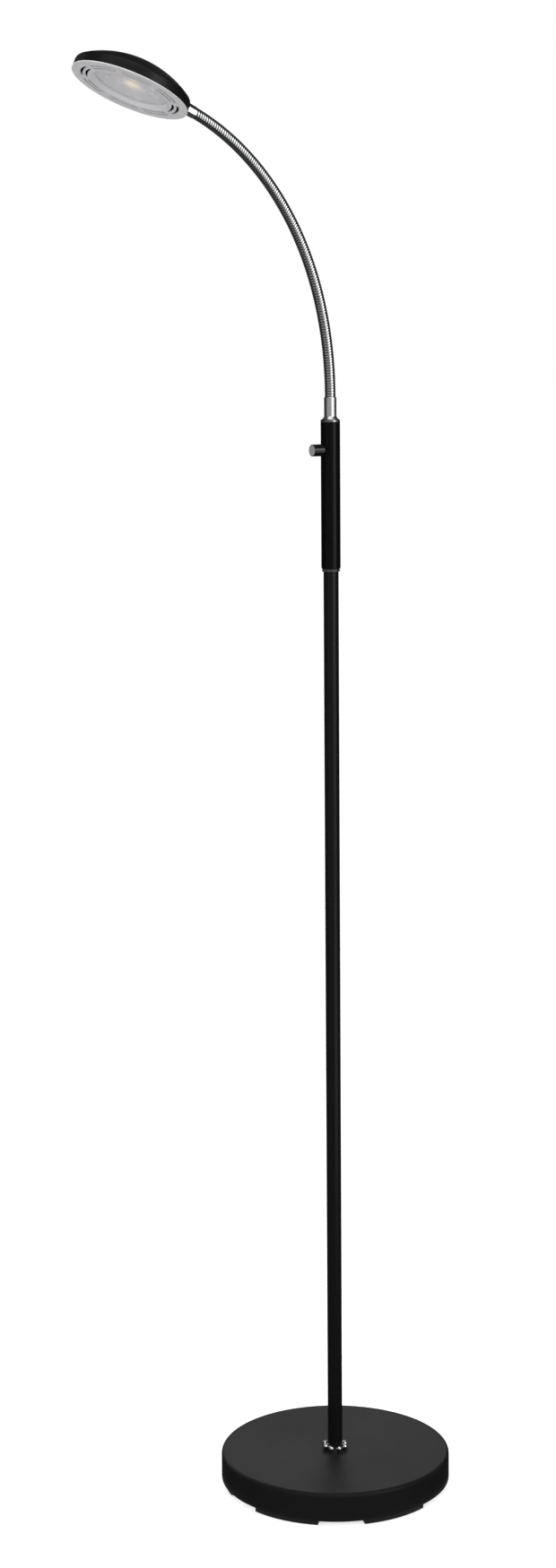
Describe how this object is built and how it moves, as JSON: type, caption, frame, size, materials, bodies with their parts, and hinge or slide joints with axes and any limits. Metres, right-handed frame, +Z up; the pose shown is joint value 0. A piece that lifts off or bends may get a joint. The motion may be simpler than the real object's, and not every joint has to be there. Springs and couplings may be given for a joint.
{
  "type": "reading floor lamp",
  "caption": "Slim floor reading lamp: round weighted base, upright pole, switch sleeve with a dimmer knob, bendable chrome gooseneck and a flat round light head.",
  "frame": {"origin": "on the floor, under the pole's axis", "axes": "+Z up along the pole; the head reaches towards -X, in the XZ plane; +Y completes the frame"},
  "size_m": [0.3616, 0.22, 1.3374],
  "materials": {
    "black_coat": "satin black powder coat",
    "cast_iron": "raw casting",
    "steel": "zinc plated",
    "rubber": "matt moulded rubber",
    "black_plastic": "satin moulded",
    "black_gloss": "gloss moulded",
    "chrome": "bright chrome plate",
    "cable": "matt sheath",
    "brass": "turned",
    "aluminium": "satin",
    "board": "solder resist",
    "silver_plastic": "silver lacquer, satin",
    "lens": "lightly frosted, clear",
    "phosphor": "soft yellow phosphor"
  },
  "bodies": {
    "stand": {"base_cover": "black_coat", "base_weight": "cast_iron", "base_plate": "black_coat", "plate_screws": "steel", "foot_ring": "rubber", "pole_stud": "steel", "stud_washer": "steel", "stud_nut": "steel", "cord_bush": "black_plastic", "foot_collar": "chrome", "pole_lower": "black_coat", "pole_upper": "black_coat", "pole_insert": "steel", "pole_joiner": "steel", "pole_lead": "cable", "sleeve_adaptor": "steel", "switch_sleeve": "black_coat", "neck_ferrule": "chrome", "dimmer_body": "black_plastic", "dimmer_thread": "brass", "dimmer_nut": "steel", "dimmer_board": "board", "driver_coil": "black_plastic", "driver_capacitor": "black_plastic", "neck_root": "chrome", "neck_lead": "cable"},
    "dimmer": {"dimmer_shaft": "steel", "dimmer_knob": "black_gloss", "knob_cap": "aluminium"},
    "head": {"neck_tip": "chrome", "tip_ferrule": "chrome", "tip_nut": "steel", "head_shell": "black_plastic", "head_bezel": "silver_plastic", "head_lens": "lens", "reflector": "aluminium", "led_chip": "phosphor", "led_board": "aluminium", "heat_sink": "aluminium", "sink_screws": "steel"},
    "neck_01": {"neck_link_01": "chrome"},
    "neck_02": {"neck_link_02": "chrome"},
    "neck_03": {"neck_link_03": "chrome"},
    "neck_04": {"neck_link_04": "chrome"},
    "neck_05": {"neck_link_05": "chrome"},
    "neck_06": {"neck_link_06": "chrome"},
    "neck_07": {"neck_link_07": "chrome"},
    "neck_08": {"neck_link_08": "chrome"},
    "neck_09": {"neck_link_09": "chrome"},
    "neck_10": {"neck_link_10": "chrome"},
    "neck_11": {"neck_link_11": "chrome"},
    "neck_12": {"neck_link_12": "chrome"},
    "neck_13": {"neck_link_13": "chrome"},
    "neck_14": {"neck_link_14": "chrome"},
    "neck_15": {"neck_link_15": "chrome"}
  },
  "joints": [
    {"name": "neck_bend_1", "type": "hinge", "parent": "stand", "child": "neck_01", "pos_m": [0, 0, 1.0506], "axis": [0.001, -1, 0], "range_deg": [-8, 8], "deforming": ["neck_lead"]},
    {"name": "neck_sway_1", "type": "hinge", "parent": "neck_01", "child": "neck_02", "pos_m": [-0.00098, 0, 1.06937], "axis": [0.9968, 0, 0.0797], "range_deg": [-7, 7]},
    {"name": "neck_bend_2", "type": "hinge", "parent": "neck_02", "child": "neck_03", "pos_m": [-0.003, 0, 1.08807], "axis": [0.001, -1, 0], "range_deg": [-8, 8]},
    {"name": "neck_sway_2", "type": "hinge", "parent": "neck_03", "child": "neck_04", "pos_m": [-0.00608, 0, 1.10661], "axis": [0.9811, 0, 0.1933], "range_deg": [-7, 7]},
    {"name": "neck_bend_3", "type": "hinge", "parent": "neck_04", "child": "neck_05", "pos_m": [-0.01026, 0, 1.12494], "axis": [0.001, -1, 0], "range_deg": [-8, 8]},
    {"name": "neck_sway_3", "type": "hinge", "parent": "neck_05", "child": "neck_06", "pos_m": [-0.01558, 0, 1.14297], "axis": [0.9495, 0, 0.3138], "range_deg": [-7, 7]},
    {"name": "neck_bend_4", "type": "hinge", "parent": "neck_06", "child": "neck_07", "pos_m": [-0.02205, 0, 1.16062], "axis": [0.001, -1, 0], "range_deg": [-8, 8]},
    {"name": "neck_sway_4", "type": "hinge", "parent": "neck_07", "child": "neck_08", "pos_m": [-0.0297, 0, 1.1778], "axis": [0.8988, 0, 0.4384], "range_deg": [-7, 7]},
    {"name": "neck_bend_5", "type": "hinge", "parent": "neck_08", "child": "neck_09", "pos_m": [-0.03852, 0, 1.1944], "axis": [0.001, -1, 0], "range_deg": [-8, 8]},
    {"name": "neck_sway_5", "type": "hinge", "parent": "neck_09", "child": "neck_10", "pos_m": [-0.04853, 0, 1.21032], "axis": [0.8262, 0, 0.5634], "range_deg": [-7, 7]},
    {"name": "neck_bend_6", "type": "hinge", "parent": "neck_10", "child": "neck_11", "pos_m": [-0.05969, 0, 1.22544], "axis": [0.001, -1, 0], "range_deg": [-8, 8]},
    {"name": "neck_sway_6", "type": "hinge", "parent": "neck_11", "child": "neck_12", "pos_m": [-0.07199, 0, 1.23966], "axis": [0.7296, 0, 0.6839], "range_deg": [-7, 7]},
    {"name": "neck_bend_7", "type": "hinge", "parent": "neck_12", "child": "neck_13", "pos_m": [-0.08538, 0, 1.25285], "axis": [0.001, -1, 0], "range_deg": [-8, 8]},
    {"name": "neck_sway_7", "type": "hinge", "parent": "neck_13", "child": "neck_14", "pos_m": [-0.09982, 0, 1.2649], "axis": [0.6077, 0, 0.7942], "range_deg": [-7, 7]},
    {"name": "neck_bend_8", "type": "hinge", "parent": "neck_14", "child": "neck_15", "pos_m": [-0.11522, 0, 1.27568], "axis": [0.001, -1, 0], "range_deg": [-8, 8]},
    {"name": "neck_sway_8", "type": "hinge", "parent": "neck_15", "child": "head", "pos_m": [-0.1315, 0, 1.28508], "axis": [0.4605, 0, 0.8876], "range_deg": [-7, 7]},
    {"name": "dimmer_turn", "type": "hinge", "parent": "stand", "child": "dimmer", "pos_m": [0, 0, 0.9934], "axis": [-1, 0, 0], "range_deg": [-140, 140]}
  ],
  "couplings": [
    {"joint": "neck_bend_2", "follows": "neck_bend_1", "ratio": 1},
    {"joint": "neck_sway_2", "follows": "neck_sway_1", "ratio": 1},
    {"joint": "neck_bend_3", "follows": "neck_bend_1", "ratio": 1},
    {"joint": "neck_sway_3", "follows": "neck_sway_1", "ratio": 1},
    {"joint": "neck_bend_4", "follows": "neck_bend_1", "ratio": 1},
    {"joint": "neck_sway_4", "follows": "neck_sway_1", "ratio": 1},
    {"joint": "neck_bend_5", "follows": "neck_bend_1", "ratio": 1},
    {"joint": "neck_sway_5", "follows": "neck_sway_1", "ratio": 1},
    {"joint": "neck_bend_6", "follows": "neck_bend_1", "ratio": 1},
    {"joint": "neck_sway_6", "follows": "neck_sway_1", "ratio": 1},
    {"joint": "neck_bend_7", "follows": "neck_bend_1", "ratio": 1},
    {"joint": "neck_sway_7", "follows": "neck_sway_1", "ratio": 1},
    {"joint": "neck_bend_8", "follows": "neck_bend_1", "ratio": 1},
    {"joint": "neck_sway_8", "follows": "neck_sway_1", "ratio": 1}
  ]
}
